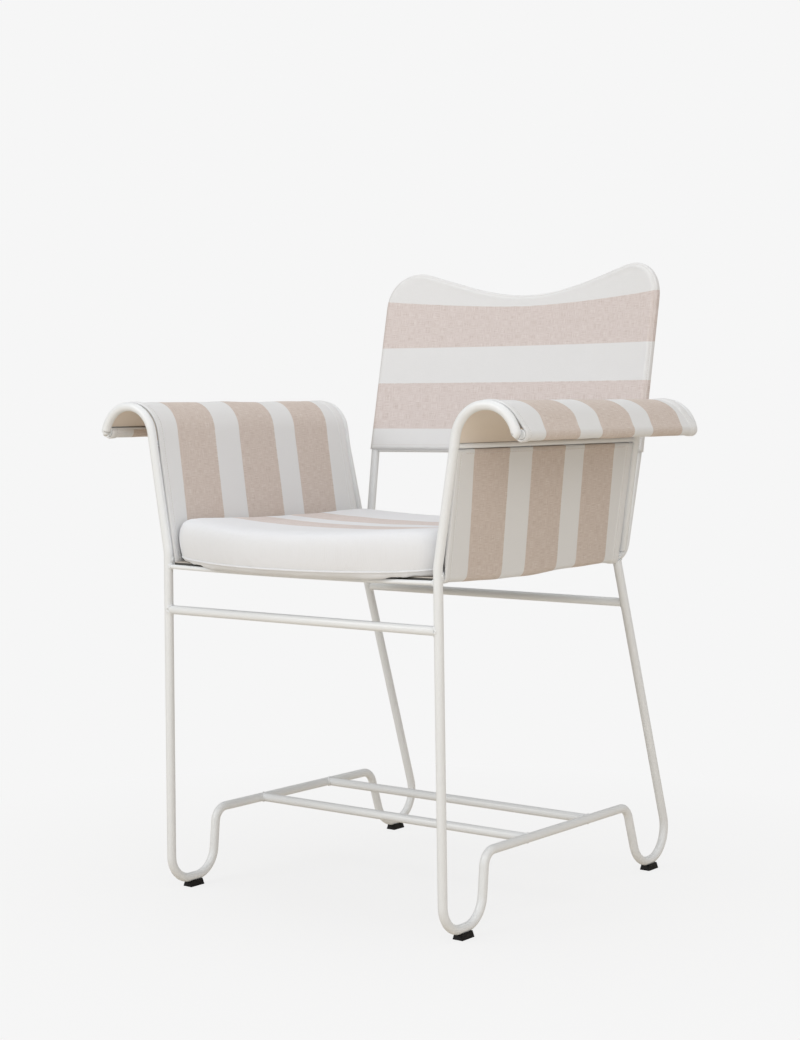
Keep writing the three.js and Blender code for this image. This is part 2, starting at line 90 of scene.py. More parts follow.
def flatGap(first, second):  # distance in the plane of a section
    return math.hypot(second[0] - first[0], second[1] - first[1])


def setAll(thing, settings):
    for key, value in settings.items():
        setattr(thing, key, value)


def linkObject(name, data):
    made = bpy.data.objects.new(name, data)
    bpy.context.scene.collection.objects.link(made)
    return made


def linkMesh(name, vertices, faces, edges=()):
    mesh = bpy.data.meshes.new(name)
    mesh.from_pydata([tuple(v) for v in vertices], list(edges), faces)
    mesh.update()
    return linkObject(name, mesh)


def linkCloth(name, vertices, faces, uvs):
    cloth = linkMesh(name, vertices, faces)
    layer = cloth.data.uv_layers.new(name="UVMap")
    for loop in cloth.data.loops:
        layer.data[loop.index].uv = uvs[loop.vertex_index]
    smoothOutward(cloth)
    return cloth


def sweptFaces(rows, count):  # joins each ring of a swept section to the next one
    return [(row * count + k, row * count + (k + 1) % count,
             (row + 1) * count + (k + 1) % count, (row + 1) * count + k)
            for row in range(rows - 1) for k in range(count)]


def smoothOutward(obj):
    work = bmesh.new()
    work.from_mesh(obj.data)
    bmesh.ops.recalc_face_normals(work, faces=work.faces)
    for face in work.faces:
        face.smooth = True
    work.to_mesh(obj.data)
    work.free()


def toPlainMesh(obj):  # bakes the modifiers into the mesh, then drops them
    graph = bpy.context.evaluated_depsgraph_get()
    made = bpy.data.meshes.new_from_object(obj.evaluated_get(graph))
    obj.modifiers.clear()
    obj.data = made


def bakeModifier(obj, kind, **settings):
    setAll(obj.modifiers.new(kind.lower(), kind), settings)
    toPlainMesh(obj)


def linkPlate(name, vertices, faces):  # smooth on its faces and sharp at its folds
    plate = linkMesh(name, vertices, faces)
    smoothOutward(plate)
    bakeModifier(plate, "EDGE_SPLIT", split_angle=math.radians(50))
    return plate


def finishPiece(obj, material, slotName, *nodes):
    obj.data.materials.clear()
    obj.data.materials.append(material)
    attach(obj, "root")
    if nodes:
        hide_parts(*nodes)


# Paths of the bent tubes

def bentPath(corners, bends, stepDegrees=4.0):
    points = [corners[0].copy()]
    for index in range(1, len(corners) - 1):
        inward = (corners[index] - corners[index - 1]).normalized()
        outward = (corners[index + 1] - corners[index]).normalized()
        turn = inward.angle(outward)
        radius = bends[index - 1]
        start = corners[index] - inward * radius * math.tan(turn / 2)
        normal = (outward - inward * outward.dot(inward)).normalized()
        centre = start + normal * radius
        count = max(3, math.ceil(math.degrees(turn) / stepDegrees))
        for step in range(count + 1):
            angle = turn * step / count
            points.append(centre - normal * radius * math.cos(angle) + inward * radius * math.sin(angle))
    points.append(corners[-1].copy())
    return points


def skewed(x, y, z):  # the arms rise and open a little toward the rear
    c = chair
    along = (y - c["hookY"]) / (c["rearHookY"] - c["hookY"])
    lift = min(max((z - c["seatZ"]) / (c["innerRailZ"] - c["seatZ"]), 0), 1)
    return x + math.copysign(c["armSplay"] * along * lift, x), y, z + c["armRise"] * along * lift


def onArm(x, y, z):
    return placed(*skewed(x, y, z))


def hookCorners(side, y):  # from the tip of an arm's hook over its crest
    c = chair
    outline = ((c["tipX"], c["tipZ"]), (c["outerX"], c["crestZ"]), (c["innerX"], c["crestZ"]))
    return [onArm(side * x, y, z) for x, z in outline]


def sideFramePath(side):
    c = chair
    heights = {"frontFootY": "footZ", "sideRailY": "railZ", "rearFootY": "footZ"}
    corners = hookCorners(side, c["hookY"])
    corners.append(placed(side * c["seatX"], c["seatY"], c["postBendZ"]))
    corners += [placed(side * c["footX"], y, c[height]) for key, height in heights.items() for y in c[key]]
    corners.append(placed(side * c["rearLegX"], c["rearLegY"], c["seatZ"] - 0.004))
    return bentPath(corners, [c["hookBend"], c["hookBend"], *c["legBends"]])


def backY(x, z):
    across = min(abs(x) / chair["backHalf"], 1)
    return chair["backPlane"] + chair["backLean"] * z + chair["backBow"] * (1 - across * across)


def uprightPath(side):
    c = chair
    corners = [placed(side * c["seatX"], y, c["seatZ"]) for y in (c["seatY"] + 0.004, c["seatRearY"])]
    for z in (c["backKneeZ"], backTopAt(c["backHalf"], backCover["side"])):
        corners.append(placed(side * c["backHalf"], backY(c["backHalf"], z), z))
    return bentPath(corners, c["uprightBends"])


def rearPostPath(side):
    c = chair
    footX, footY, footZ = c["rearPostFoot"]
    kneeX, kneeY, kneeZ = c["rearPostKnee"]
    corners = [placed(side * footX, footY, footZ), placed(side * (kneeX + c["armSplay"]), kneeY, kneeZ)]
    corners += reversed(hookCorners(side, c["rearHookY"]))
    return bentPath(corners, [c["rearPostBend"], c["hookBend"], c["hookBend"]])


# Wavy outline of the back

backCover = {
    "side": 0.0081, "crest": 0.8738,
    "waveDepth": 0.0526, "waveHalf": 0.2806,
    "corner": 0.0614, "bottom": 0.5925,
    "seamAngle": 42, "seamDepth": 0.0006,
    "ridgeAfter": 20, "ridgeHeight": 0.0004,
    "cloth": 0.0011, "puff": 0.0005,
    "columns": 46, "rows": 48, "rimSteps": 20, "hemZ": 0.5995,
}


def backTopAt(x, inset):
    b = backCover
    phase = min(abs(x) / b["waveHalf"], 1)
    wave = b["crest"] - b["waveDepth"] * (1 + math.cos(math.pi * phase)) / 2
    radius = b["corner"] - inset
    past = abs(x) - (chair["backHalf"] + b["side"] - inset - radius)
    drop = radius - math.sqrt(max(radius * radius - past * past, 0)) if past > 0 else 0
    return wave - inset - drop


def placesAcross(middleCount, cornerCount):  # closer together round the corners of the back
    start = chair["backHalf"] + backCover["side"] - backCover["corner"]
    radius = chair["backHalf"] - start
    turns = np.linspace(0, math.pi / 2, cornerCount)
    places = [-start - radius * math.cos(a) for a in turns]
    places += list(np.linspace(-start, start, middleCount)[1:-1])
    return places + [start + radius * math.sin(a) for a in turns]


def topRailPath():
    side = backCover["side"]
    return [placed(x, backY(x, backTopAt(x, side)), backTopAt(x, side)) for x in placesAcross(70, 18)]


# Node trees: sockets, nodes and groups

def newTree(name, kind, inputs, outputs):
    tree = bpy.data.node_groups.new(name, kind)
    for label, socketKind, value in inputs:
        given = tree.interface.new_socket(label, in_out="INPUT", socket_type="NodeSocket" + socketKind)
        if value is not None:
            given.default_value = value
    for label, socketKind in outputs:
        tree.interface.new_socket(label, in_out="OUTPUT", socket_type="NodeSocket" + socketKind)
    return tree, tree.nodes.new("NodeGroupInput").outputs, tree.nodes.new("NodeGroupOutput")


def setSockets(tree, node, values):  # a value is a number, a colour or a socket of another node
    for label, value in values.items():
        if isinstance(value, bpy.types.NodeSocket):
            tree.links.new(value, node.inputs[label])
        else:
            node.inputs[label].default_value = value


def addNode(tree, kind, values=None, **settings):  # a kind without a family is of the tree's own one
    family = "" if "Node" in kind else tree.bl_idname.replace("Tree", "")
    node = tree.nodes.new(family + kind)
    setAll(node, settings)
    setSockets(tree, node, values or {})
    return node


def outOf(tree, kind, values=None, **settings):  # first output of a new node
    return addNode(tree, kind, values, **settings).outputs[0]


# Geometry Nodes: a round bar along a path, and stitches along a path

def endTree(tree, geometry, material, output):
    tree.is_modifier = True
    real = outOf(tree, "RealizeInstances", {"Geometry": geometry})
    painted = outOf(tree, "SetMaterial", {"Geometry": real, "Material": material})
    tree.links.new(painted, output.inputs[0])
    return tree


def makeBarTree():
    tree, given, end = newTree("roundBar", "GeometryNodeTree", [
        ("Geometry", "Geometry", None), ("Radius", "Float", 0.006),
        ("Sides", "Int", 24), ("Material", "Material", None),
    ], [("Geometry", "Geometry")])
    curve = outOf(tree, "MeshToCurve", {"Mesh": given["Geometry"]})
    girth = outOf(tree, "InputNamedAttribute", {"Name": "girth"}, data_type="FLOAT")
    sized = outOf(tree, "SetCurveRadius", {"Curve": curve, "Radius": girth})
    ring = outOf(tree, "CurvePrimitiveCircle",
                 {"Resolution": given["Sides"], "Radius": given["Radius"]}, mode="RADIUS")
    bar = addNode(tree, "CurveToMesh", {"Curve": sized, "Profile Curve": ring, "Fill Caps": True})
    if "Scale" in bar.inputs:
        tree.links.new(girth, bar.inputs["Scale"])
    smooth = outOf(tree, "SetShadeSmooth", {"Geometry": bar.outputs[0]})
    return endTree(tree, smooth, given["Material"], end)


def makeStitchTree():
    tree, given, end = newTree("stitchRow", "GeometryNodeTree", [
        ("Geometry", "Geometry", None), ("Spacing", "Float", 0.0034), ("Length", "Float", 0.0024),
        ("Thickness", "Float", 0.00042), ("Material", "Material", None),
    ], [("Geometry", "Geometry")])
    curve = outOf(tree, "MeshToCurve", {"Mesh": given["Geometry"]})
    points = addNode(tree, "CurveToPoints",
                     {"Curve": curve, "Length": given["Spacing"]}, mode="LENGTH").outputs
    stitch = outOf(tree, "MeshUVSphere", {"Segments": 6, "Rings": 4, "Radius": 1.0})
    size = outOf(tree, "ShaderNodeCombineXYZ", {
        "X": given["Thickness"], "Y": given["Thickness"],
        "Z": mathNode(tree, "MULTIPLY", given["Length"], 0.5)})
    rows = outOf(tree, "InstanceOnPoints", {
        "Points": points["Points"], "Instance": stitch, "Rotation": points["Rotation"], "Scale": size})
    return endTree(tree, rows, given["Material"], end)


def applyTree(obj, tree, values):
    modifier = obj.modifiers.new(tree.name, "NODES")
    modifier.node_group = tree
    for item in tree.interface.items_tree:
        if item.item_type == "SOCKET" and item.in_out == "INPUT" and item.name in values:
            modifier[item.identifier] = values[item.name]
    obj.update_tag()
    bpy.context.view_layer.update()
    toPlainMesh(obj)
    smoothOutward(obj)


def camelName(name):
    words = name.split("_")
    return words[0] + "".join(word.title() for word in words[1:])


def pathObject(name, loops, girths=None, closed=False):
    vertices, edges, girth = [], [], []
    for loop in loops:
        first = len(vertices)
        vertices.extend(loop)
        girth.extend(girths or [1.0] * len(loop))
        edges += [(first + k, first + k + 1) for k in range(len(loop) - 1)]
        if closed:
            edges.append((first + len(loop) - 1, first))
    obj = linkMesh(name, vertices, [], edges)
    layer = obj.data.attributes.new("girth", "FLOAT", "POINT")
    layer.data.foreach_set("value", girth)
    return obj


barFinish = {"sides": 24, "chamfer": 0.0009, "shoulder": 0.35}


def buildBar(node, points, radius=chair["tubeRadius"]):  # a painted tube or rod with chamfered ends
    f = barFinish
    chamfer, shoulder = f["chamfer"], f["shoulder"]
    lead = (points[1] - points[0]).normalized() * chamfer
    trail = (points[-1] - points[-2]).normalized() * chamfer
    soft, middle = 1 - chamfer / radius, 1 - shoulder * chamfer / radius
    path = [points[0], points[0] + lead * shoulder, points[0] + lead, *points[1:-1],
            points[-1] - trail, points[-1] - trail * shoulder, points[-1]]
    girths = [soft, middle] + [1.0] * len(points) + [middle, soft]
    bar = pathObject(camelName(node), [path], girths)
    applyTree(bar, barTree, {"Radius": radius, "Sides": f["sides"], "Material": paint})
    finishPiece(bar, paint, "steel", node)


def buildStitches(name, loops, slotName, thickness=0.00042):
    rows = pathObject(name, loops)
    values = {"Spacing": 0.0034, "Length": 0.0024, "Thickness": thickness, "Material": thread}
    applyTree(rows, stitchTree, values)
    finishPiece(rows, thread, slotName)


# Shader nodes, and the groups shared by the materials

def mathNode(tree, operation, first, second, clamp=False):
    return outOf(tree, "ShaderNodeMath", {0: first, 1: second}, operation=operation, use_clamp=clamp)


def sineNode(tree, value, turn):  # sine of a value times an angle
    angle = mathNode(tree, "MULTIPLY", value, turn)
    return outOf(tree, "ShaderNodeMath", {0: angle}, operation="SINE")


def mixColours(tree, factor, first, second):
    return addNode(tree, "Mix", {0: factor, 6: first, 7: second}, data_type="RGBA").outputs[2]


def rangeNode(tree, value, low, high, toLow, toHigh):
    return outOf(tree, "MapRange", {
        "Value": value, "From Min": low, "From Max": high, "To Min": toLow, "To Max": toHigh})


def noiseNode(tree, vector, scale, detail=2.0):
    return outOf(tree, "TexNoise", {"Vector": vector, "Scale": scale, "Detail": detail})


def splitVector(tree, vector):
    return addNode(tree, "SeparateXYZ", {0: vector}).outputs


def makeBandGroup():  # one stripe across a coordinate, with a soft edge a thread wide
    group, given, end = newTree("stripeBand", "ShaderNodeTree", [
        ("Coordinate", "Float", 0.0), ("Start", "Float", 0.0),
        ("End", "Float", 0.1), ("Softness", "Float", 0.0006),
    ], [("Mask", "Float")])
    edges = []
    for label in ("Start", "End"):
        gap = mathNode(group, "SUBTRACT", given["Coordinate"], given[label])
        share = mathNode(group, "DIVIDE", gap, given["Softness"])
        edges.append(mathNode(group, "ADD", share, 0.5, clamp=True))
    group.links.new(mathNode(group, "SUBTRACT", *edges), end.inputs["Mask"])
    return group


def makeWeaveGroup():  # crossed threads with slubs along both of them
    group, given, end = newTree("plainWeave", "ShaderNodeTree", [
        ("Vector", "Vector", None), ("Thread", "Float", 0.0009), ("Slub Length", "Float", 0.013),
        ("Slub Width", "Float", 0.0006), ("Twill", "Float", 0.0027),
    ], [("Height", "Float"), ("Slubs", "Float")])
    place = splitVector(group, given["Vector"])
    waves, slubs = [], []
    for axis in (0, 1):
        threads = mathNode(group, "DIVIDE", place[axis], given["Thread"])
        waves.append(sineNode(group, threads, math.pi))
    for longAxis in (0, 1):
        stretched = {2: place[2]}
        for axis in (0, 1):
            label = "Slub Length" if axis == longAxis else "Slub Width"
            stretched[axis] = mathNode(group, "DIVIDE", place[axis], given[label])
        slubs.append(noiseNode(group, outOf(group, "CombineXYZ", stretched), 1.0, 1.0))
    slope = mathNode(group, "SUBTRACT", place[0], place[1])
    twill = sineNode(group, mathNode(group, "DIVIDE", slope, given["Twill"]), 2 * math.pi)
    both = mathNode(group, "SUBTRACT", mathNode(group, "ADD", *slubs), 1.0)
    both = mathNode(group, "ADD", both, mathNode(group, "MULTIPLY", twill, 0.055))
    crossed = mathNode(group, "MULTIPLY", mathNode(group, "MULTIPLY", *waves), 0.25)
    height = mathNode(group, "ADD", crossed, mathNode(group, "MULTIPLY", both, 0.9))
    setSockets(group, end, {"Height": height, "Slubs": both})
    return group


barTree = makeBarTree()
stitchTree = makeStitchTree()
bandGroup = makeBandGroup()
weaveGroup = makeWeaveGroup()


# Materials

clothColours = {
    "white": (0.745, 0.755, 0.770, 1),
    "cushionWhite": (0.760, 0.777, 0.812, 1),
    "whiteDark": (0.64, 0.64, 0.64, 1),
    # armBeige and backBeige are one beige cloth in two copies: the arms' copy is darker as painted shade,
    # the back and cushion copy is lighter as painted light
    "armBeige": (0.615, 0.535, 0.487, 1),
    "backBeige": (0.665, 0.60, 0.586, 1),
    "beigeLight": (0.79, 0.755, 0.73, 1),
    "beigeDark": (0.47, 0.385, 0.345, 1),
    "ragged": 0.0009, "toneSpread": 0.60, "roughness": 0.92,
}


def emptyTree(owner):
    owner.use_nodes = True
    owner.node_tree.nodes.clear()
    return owner.node_tree


def newMaterial(name, source="Object"):
    material = bpy.data.materials.new(name)
    tree = emptyTree(material)
    shader = addNode(tree, "BsdfPrincipled")
    addNode(tree, "OutputMaterial", {"Surface": shader.outputs[0]})
    return material, tree, shader, addNode(tree, "TexCoord").outputs[source]


def bumpNode(tree, height, strength, distance):
    return outOf(tree, "Bump", {"Height": height, "Strength": strength, "Distance": distance})


def clothMaterial(name, source, bands, beige, white):  # bands: start and end of each beige stripe
    c = clothColours
    material, tree, shader, vector = newMaterial(name, source)
    weave = addNode(tree, "ShaderNodeGroup", {"Vector": vector}, node_tree=weaveGroup).outputs
    ragged = mathNode(tree, "MULTIPLY", weave["Slubs"], c["ragged"])
    place = mathNode(tree, "ADD", splitVector(tree, vector)[1], ragged)
    tone = rangeNode(tree, weave["Slubs"], -c["toneSpread"], c["toneSpread"], 0.0, 1.0)
    plain = mixColours(tree, rangeNode(tree, tone, 0.0, 0.5, 0.16, 0.0), c[white], c["whiteDark"])
    striped = mixColours(tree, rangeNode(tree, tone, 0.0, 0.5, 1.0, 0.0), c[beige], c["beigeDark"])
    striped = mixColours(tree, rangeNode(tree, tone, 0.5, 1.0, 0.0, 0.85), striped, c["beigeLight"])
    mask = 0.0
    for start, end in bands:
        values = {"Coordinate": place, "Start": start, "End": end}
        band = addNode(tree, "ShaderNodeGroup", values, node_tree=bandGroup).outputs["Mask"]
        mask = mathNode(tree, "ADD", band, mask)
    setSockets(tree, shader, {
        "Base Color": mixColours(tree, mask, plain, striped),
        "Roughness": c["roughness"],
        "Specular IOR Level": 0.2, "Sheen Weight": 0.1,
        "Normal": bumpNode(tree, weave["Height"], 0.4, 0.0004),
    })
    return material


def threadMaterial(name):
    material, tree, shader, vector = newMaterial(name)
    twist = noiseNode(tree, vector, 2200.0)
    colour = mixColours(tree, twist, (0.52, 0.49, 0.46, 1), (0.70, 0.68, 0.65, 1))
    setSockets(tree, shader, {"Base Color": colour, "Roughness": 0.75})
    return material


def paintMaterial(name, low, high):  # satin powder coat with a fine orange peel
    material, tree, shader, vector = newMaterial(name)
    peel = noiseNode(tree, vector, 1400.0)
    drift = noiseNode(tree, vector, 9.0)
    setSockets(tree, shader, {
        "Base Color": mixColours(tree, drift, low, high),
        "Roughness": rangeNode(tree, drift, 0.3, 0.7, 0.30, 0.40),
        "Normal": bumpNode(tree, peel, 0.12, 0.0002),
    })
    return material


def plasticMaterial(name):
    material, tree, shader, vector = newMaterial(name)
    grain = noiseNode(tree, vector, 2600.0)
    scuff = noiseNode(tree, vector, 160.0)
    setSockets(tree, shader, {
        "Base Color": mixColours(tree, grain, (0.004, 0.004, 0.004, 1), (0.008, 0.008, 0.009, 1)),
        "Roughness": rangeNode(tree, scuff, 0.3, 0.7, 0.50, 0.68),
        "Specular IOR Level": 0.25,
        "Normal": bumpNode(tree, grain, 0.25, 0.0002),
    })
    return material


def panMaterial(name, topColour, lipShadeColour, lipTop):  # plain coat on the top; the lip behind the front rod is painted near-black as painted shade, standing for the dark gap under the cushion
    material, tree, shader, vector = newMaterial(name)
    height = splitVector(tree, vector)[2]
    # the mask keeps the top's coat above lipTop and gives the lip below it the painted-shade near-black
    top = rangeNode(tree, height, lipTop - 0.0004, lipTop + 0.0002, 0.0, 1.0)
    setSockets(tree, shader, {"Base Color": mixColours(tree, top, lipShadeColour, topColour), "Roughness": 0.6})
    return material


paint = paintMaterial("framePaint", (0.775, 0.80, 0.825, 1), (0.81, 0.835, 0.86, 1))
# painted shade: the frame's paint turned khaki, standing for the warm shade inside the arm tunnels
plateShadePaint = paintMaterial("plateShadePaint", (0.79, 0.715, 0.635, 1), (0.81, 0.735, 0.655, 1))
plastic = plasticMaterial("glidePlastic")
thread = threadMaterial("hemThread")


# Frame: bent tubes, rods and cross tubes. "meets" is where a tube's middle line reaches the side frame

crossTubes = {
    "front_stretcher": {"y": -0.0579, "z": 0.3835, "half": 0.2195, "meets": 0.2231},
    "rear_seat_rail": {"y": 0.3801, "z": 0.385, "half": 0.2195, "meets": 0.2243},
    "lower_front_stretcher": {"y": 0.1353, "z": 0.0992, "half": 0.2230, "meets": 0.226},
    "lower_rear_stretcher": {"y": 0.2839, "z": 0.0992, "half": 0.2230, "meets": 0.226},
}
seatRods = {
    "front_seat_rod": {"y": -0.060, "z": 0.4415, "half": 0.2190, "meets": 0.2225, "bow": 0.0018},
    "rear_seat_rod": {"y": 0.358, "z": 0.443, "half": 0.2190, "meets": 0.2225},
}
seatPan = {
    "front": -0.0555, "rear": 0.358, "half": 0.2140,
    "low": 0.4463, "high": 0.4476, "fold": 0.0006,
    "lipLow": 0.4395, "lipTop": 0.4468,
}
# painted shade: the near-black lip colour stands for the shadow between the cushion and the front rod; the
# mid-tone is the top's coat
panPaintAndLipShade = panMaterial("panPaintAndLipShade", (0.50, 0.455, 0.405, 1), (0.045, 0.042, 0.038, 1), seatPan["lipTop"])


def buildSideTubes(side, word):
    c = chair
    rod = [(c["hookY"] + 0.0062, c["rodZ"]), (c["rearHookY"] - 0.0062, c["rodZ"])]
    rail = [(c["hookY"] + 0.003, c["innerRailZ"]), (c["rearHookY"] - 0.003, c["innerRailZ"])]
    buildBar("side_frame_" + word, sideFramePath(side))
    buildBar("back_upright_" + word, uprightPath(side))
    buildBar("rear_arm_post_" + word, rearPostPath(side))
    buildBar("outer_arm_rod_" + word, [onArm(side * c["rodX"], y, z) for y, z in rod])
    buildBar("inner_arm_rail_" + word, [onArm(side * c["innerRailX"], y, z) for y, z in rail],
             c["rodRadius"])


def buildCrossTubes():
    c = chair
    for group, radius in ((crossTubes, c["tubeRadius"]), (seatRods, c["rodRadius"])):
        for name, s in group.items():
            bow = s.get("bow", 0)
            line = [placed(s["half"] * u, s["y"] - bow * (1 - u * u), s["z"] - bow * (1 - u * u))
                    for u in np.linspace(-1, 1, 25 if bow else 2)]
            buildBar(name, line, radius)
    buildBar("back_top_rail", topRailPath())
    z = c["backLowZ"]
    low = [placed(x, backY(x, z), z) for x in np.linspace(-c["backHalf"], c["backHalf"], 41)]
    buildBar("back_bottom_rail", low)


def buildPan():  # thin sheet under the cushion, its front edge turned down behind the front rod; this lip is painted near-black as painted shade for the gap under the cushion
    p = seatPan
    front, high, low, fold = p["front"], p["high"], p["low"], p["fold"]
    inside = front + (high - low)
    profile = [(front, p["lipLow"]), (front, high - fold), (front + fold, high), (p["rear"], high),
               (p["rear"], low), (inside, low), (inside, p["lipLow"])]
    vertices = [placed(side * p["half"], y, z) for side in (-1, 1) for y, z in profile]
    count = len(profile)
    faces = [(k, (k + 1) % count, count + (k + 1) % count, count + k) for k in range(count)]
    caps = [(0, 1, 2, 5, 6), (2, 3, 4, 5)]
    faces += [cap[::-1] for cap in caps] + [tuple(count + k for k in cap) for cap in caps]
    # the pan carries the material whose lip colour is painted shade
    finishPiece(linkPlate("seatPan", vertices, faces), panPaintAndLipShade, "steel", "seat_pan")


# Curved plates under the arm cloth

armPlate = {"radius": 0.0459, "start": 183, "end": 20.3, "half": 0.0006, "front": -0.0549, "rear": 0.3501}


def buildArmPlate(side, word):
    c, p = chair, armPlate
    angles = np.radians(np.linspace(p["start"], p["end"], 49))
    outline = [(p["radius"] + p["half"], a) for a in angles]
    outline += [(p["radius"] - p["half"], a) for a in angles[::-1]]
    vertices = []
    places = np.linspace(p["front"], p["rear"], 9)
    for y in places:
        for radius, angle in outline:
            x = c["archX"] + radius * math.cos(angle)
            z = c["archZ"] + radius * math.sin(angle)
            vertices.append(onArm(side * x, y, z))
    faces = sweptFaces(len(places), len(outline))
    faces.append(tuple(range(len(outline))))
    faces.append(tuple(reversed(range(len(vertices) - len(outline), len(vertices)))))
    plate = linkPlate("armPlate" + word.title(), vertices, faces)
    # the plate takes the khaki copy of the frame paint, which is painted shade
    finishPiece(plate, plateShadePaint, "steel", "arm_plate_" + word)


# Weld beads where one tube meets another

weldBead = {"radius": 0.0013, "points": 28, "lumps": 0.22, "sides": 10}


def saddleRing(start, heading, radius, through, along):  # where a tube's skin meets another tube's round
    heading, along = heading.normalized(), along.normalized()
    across = heading.orthogonal().normalized()
    up = heading.cross(across)
    ring = []
    for step in range(weldBead["points"]):
        angle = 2 * math.pi * step / weldBead["points"]
        point = start + (across * math.cos(angle) + up * math.sin(angle)) * radius
        gap = point - through
        sideGap = gap - along * gap.dot(along)
        sideHeading = heading - along * heading.dot(along)
        a = sideHeading.dot(sideHeading)
        b = 2 * sideGap.dot(sideHeading)
        d = sideGap.dot(sideGap) - chair["tubeRadius"] ** 2
        reach = (-b - math.sqrt(max(b * b - 4 * a * d, 0))) / (2 * a)
        ring.append(point + heading * reach)
    return ring


def weldJoints(side):  # a tube's start, heading and radius, then a point and the line of the one it meets
    c = chair
    r, thin = c["tubeRadius"], c["rodRadius"]
    rearward, upward = Vector((0, 1, 0)), Vector((0, 0, 1))
    seatX, seatZ, railX, railZ = side * c["seatX"], c["seatZ"], side * c["innerRailX"], c["innerRailZ"]
    frontFoot = placed(side * c["footX"], c["frontFootY"][0], c["footZ"])
    frontLeg = frontFoot - placed(seatX, c["seatY"], c["postBendZ"])
    legTop = placed(side * c["rearLegX"], c["rearLegY"], seatZ)
    rearLeg = legTop - placed(side * c["footX"], c["rearFootY"][1], c["footZ"])
    armPost = Vector((side * (c["innerX"] - c["seatX"]), 0, c["crestZ"] - c["postBendZ"]))
    lines = {"front_stretcher": frontLeg, "front_seat_rod": frontLeg, "rear_seat_rail": rearLeg}
    joints = []
    for group, radius in ((crossTubes, r), (seatRods, thin)):
        for name, s in group.items():
            height = seatZ if name == "rear_seat_rod" else s["z"]
            joints.append((placed(0.2 * side, s["y"], s["z"]), Vector((side, 0, 0)), radius,
                           placed(side * s["meets"], s["y"], height), lines.get(name, rearward)))
    joints.append((placed(seatX, 0.0, seatZ), -rearward, r, placed(seatX, c["seatY"], seatZ), upward))
    joints.append((legTop - rearLeg * 0.1, rearLeg, r, placed(seatX, c["rearLegY"], seatZ), rearward))
    for start, heading, end in ((0.0, -rearward, c["hookY"]), (0.3, rearward, c["rearHookY"])):
        joints.append((onArm(railX, start, railZ), heading, thin, onArm(railX, end, railZ), armPost))
    return joints


def buildWelds():
    w = weldBead
    loops = [saddleRing(*joint) for side in (-1, 1) for joint in weldJoints(side)]
    girths = [1 + w["lumps"] * math.sin(k * 2.1) * math.cos(k * 0.9) for k in range(w["points"])]
    beads = pathObject("weldBeads", loops, girths, closed=True)
    applyTree(beads, barTree, {"Radius": w["radius"], "Sides": w["sides"], "Material": paint})
    finishPiece(beads, paint, "steel")


# Cover of the back: a cloth sleeve over the hoop

backStripes = {
    "bands": [(0.6237, 0.6925), (0.7460, 0.8170)],
    "dip": 0.0125, "dipFrom": 0.750, "dipTo": 0.800,
}


def backClothHeight(x, z):  # the upper edge of the top stripe dips toward the middle
    s = backStripes
    across = min(abs(x) / chair["backHalf"], 1)
    dip = s["dip"] * (1 - across ** 1.5)
    return z + dip * smoothStep(s["dipFrom"], s["dipTo"], z)


def rimSize(reach, degrees):  # the seam sinks into the rounded edge, with a low ridge behind it
    b = backCover
    gap = degrees - b["seamAngle"]
    dent = b["seamDepth"] * math.exp(-(gap / 9) ** 2)
    return reach - dent + b["ridgeHeight"] * math.exp(-((gap - b["ridgeAfter"]) / 10) ** 2)


def backSection(inset, seamed):  # front and rear layers, and the rounded edge between them
    b = backCover
    rows, rim, reach = b["rows"], b["rimSteps"], b["side"] - inset
    xs = placesAcross(b["columns"], 13)
    last, rear = len(xs) - 1, len(xs) * (rows + 1)
    points, uvs, faces, rings = [], [], [], []
    for layer in (-1, 1):
        for x in xs:
            top = backTopAt(x, b["side"])
            for j in range(rows + 1):
                z = b["bottom"] + (top - b["bottom"]) * j / rows
                lift = b["puff"] * noise.noise(Vector((x * 9, z * 7, layer * 2.0))) * layer if seamed else 0
                points.append(Vector((x, backY(x, z) + layer * reach + lift, z)))
                uvs.append((x, backClothHeight(x, z)))

    def at(i, j):  # number of a point in the front layer
        return i * (rows + 1) + j

    edge = [at(0, j) for j in range(rows + 1)] + [at(i, rows) for i in range(1, last + 1)]
    edge += [at(last, j) for j in range(rows - 1, -1, -1)]
    for number, k in enumerate(edge):
        before, after = edge[max(number - 1, 0)], edge[min(number + 1, len(edge) - 1)]
        along = (points[after] - points[before]).normalized()
        out = (points[k + rear] - points[k]).normalized().cross(along).normalized()
        middle = (points[k] + points[k + rear]) / 2
        if out.dot(middle - Vector((0, backY(0, 0.7), 0.7))) < 0:
            out = -out
        ring = [k]
        for step in range(1, rim):
            degrees = 180 * step / rim
            angle = math.radians(degrees)
            size = rimSize(reach, degrees) if seamed else reach
            point = middle + (points[k] - middle).normalized() * size * math.cos(angle)
            point += out * size * math.sin(angle)
            ring.append(len(points))
            points.append(point)
            uvs.append((point.x, uvs[k][1]))
        rings.append([*ring, k + rear])
    for i in range(last):
        for j in range(rows):
            quad = (at(i, j), at(i + 1, j), at(i + 1, j + 1), at(i, j + 1))
            faces += [quad, tuple(rear + quad[k] for k in (0, 3, 2, 1))]
    for before, after in zip(rings, rings[1:]):
        faces += [(before[k], before[k + 1], after[k + 1], after[k]) for k in range(rim)]
    mouth = [at(i, 0) for i in range(last + 1)] + rings[-1][1:-1]
    mouth += [rear + at(i, 0) for i in range(last, -1, -1)] + rings[0][1:-1][::-1]
    return points, uvs, faces, mouth, rings


